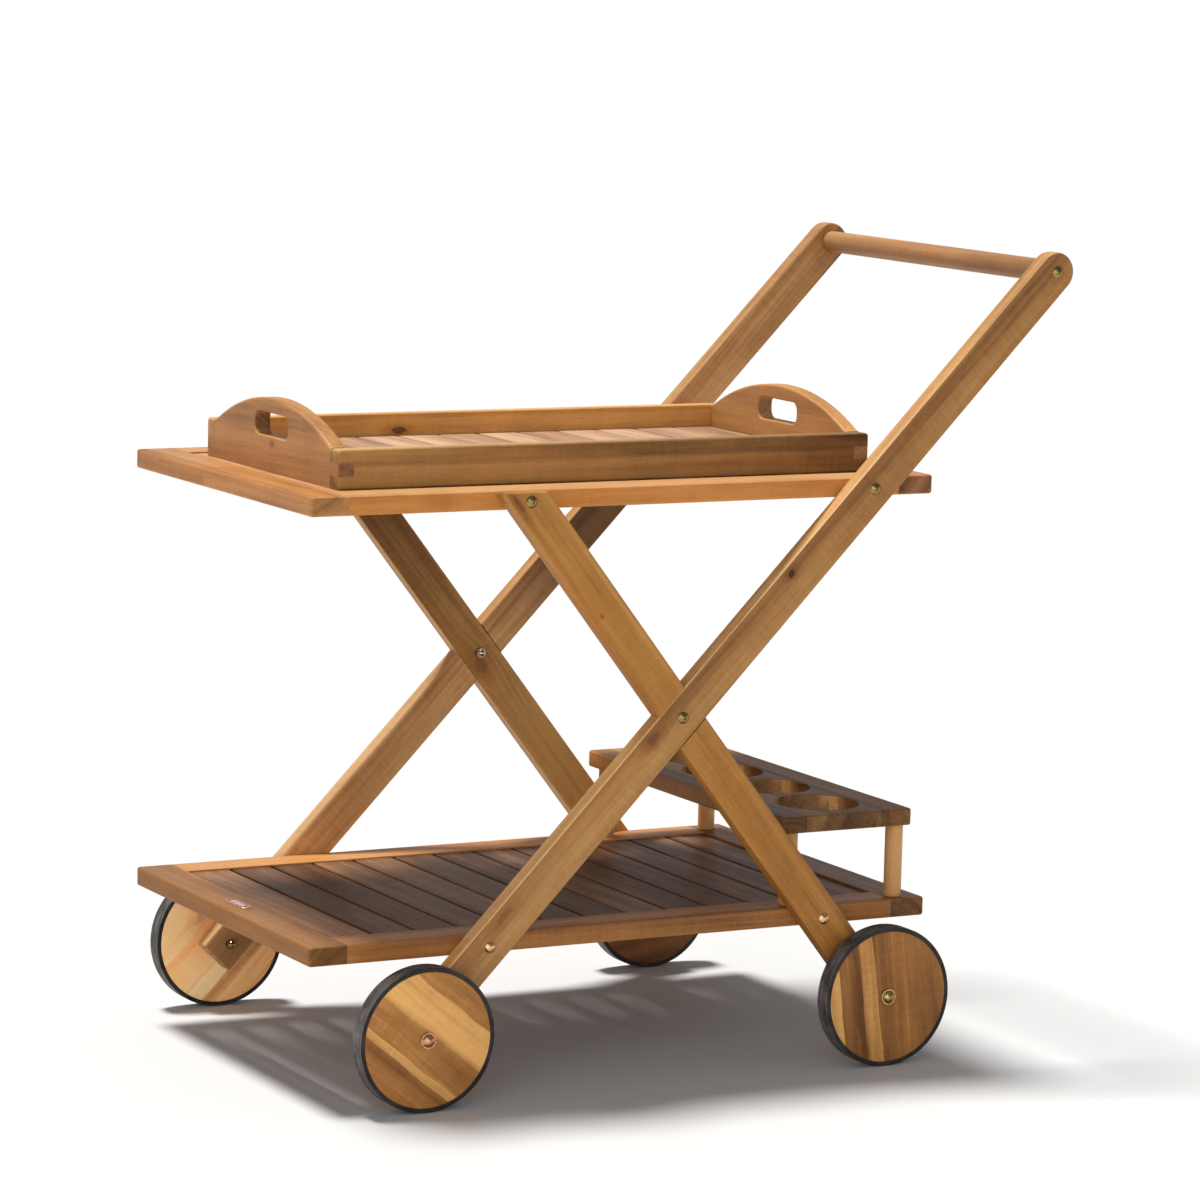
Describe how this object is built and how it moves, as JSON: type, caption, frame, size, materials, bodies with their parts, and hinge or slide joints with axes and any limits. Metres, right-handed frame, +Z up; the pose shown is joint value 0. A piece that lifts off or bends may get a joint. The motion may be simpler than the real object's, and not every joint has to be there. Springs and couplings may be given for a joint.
{
  "type": "bar cart",
  "caption": "Wooden serving trolley with crossed legs, slatted shelves, a lift-off tray, a bottle rack, a round push handle and rubber-tyred wooden wheels.",
  "frame": {"origin": "on the floor, under the centre of the bounding box", "axes": "+X towards the push handle, which is the rear; +Y to the right side of the cart as the picture's far side; +Z up"},
  "size_m": [0.8766, 0.5556, 0.859],
  "materials": {
    "frame_wood": "oiled golden-brown hardwood, satin",
    "tray_wood": "oiled golden-brown hardwood, satin",
    "wheel_wood": "edge-glued light and dark hardwood strips, satin",
    "tyre_rubber": "black rubber band, satin",
    "brass": "brass-plated, polished",
    "zinc_steel": "zinc-plated",
    "spacer_plastic": "black nylon",
    "copper_plate": "copper-coloured blank plate, polished"
  },
  "bodies": {
    "frame": {"long_leg_left": "frame_wood", "long_leg_right": "frame_wood", "short_leg_left": "frame_wood", "short_leg_right": "frame_wood", "handle_bar": "frame_wood", "top_end_rail_front": "frame_wood", "top_end_rail_rear": "frame_wood", "top_side_rail_left": "frame_wood", "top_side_rail_right": "frame_wood", "top_slats": "frame_wood", "lower_end_rail_front": "frame_wood", "lower_end_rail_rear": "frame_wood", "lower_side_rail_left": "frame_wood", "lower_side_rail_right": "frame_wood", "lower_slats": "frame_wood", "rack_board": "frame_wood", "rack_post_front_left": "frame_wood", "rack_post_front_right": "frame_wood", "rack_post_rear_left": "frame_wood", "rack_post_rear_right": "frame_wood", "shelf_bolts": "brass", "lap_bolts": "brass", "lap_nuts": "brass", "handle_screws": "brass", "axle_bolts": "brass", "axle_washers": "brass", "axle_nuts": "brass", "plate_pins": "brass", "shelf_inserts": "zinc_steel", "axle_sleeves": "zinc_steel", "axle_spacers": "spacer_plastic", "blank_plate": "copper_plate"},
    "tray": {"tray_side_left": "tray_wood", "tray_side_right": "tray_wood", "tray_end_front": "tray_wood", "tray_end_rear": "tray_wood", "tray_slats": "tray_wood"},
    "wheel_front_left": {"wheel_disc_front_left": "wheel_wood", "tyre_front_left": "tyre_rubber"},
    "wheel_front_right": {"wheel_disc_front_right": "wheel_wood", "tyre_front_right": "tyre_rubber"},
    "wheel_rear_left": {"wheel_disc_rear_left": "wheel_wood", "tyre_rear_left": "tyre_rubber"},
    "wheel_rear_right": {"wheel_disc_rear_right": "wheel_wood", "tyre_rear_right": "tyre_rubber"}
  },
  "joints": [
    {"name": "wheel_front_left_spin", "type": "hinge", "parent": "frame", "child": "wheel_front_left", "pos_m": [-0.32061, -0.2615, 0.075], "axis": [0, 1, 0], "continuous": true},
    {"name": "wheel_front_right_spin", "type": "hinge", "parent": "frame", "child": "wheel_front_right", "pos_m": [-0.32061, 0.2615, 0.075], "axis": [0, 1, 0], "continuous": true},
    {"name": "wheel_rear_left_spin", "type": "hinge", "parent": "frame", "child": "wheel_rear_left", "pos_m": [0.22038, -0.2615, 0.075], "axis": [0, 1, 0], "continuous": true},
    {"name": "wheel_rear_right_spin", "type": "hinge", "parent": "frame", "child": "wheel_rear_right", "pos_m": [0.22038, 0.2615, 0.075], "axis": [0, 1, 0], "continuous": true},
    {"name": "tray_lift", "type": "slide", "parent": "frame", "child": "tray", "axis": [0, 0, 1], "range_m": [0, 0.3]}
  ]
}
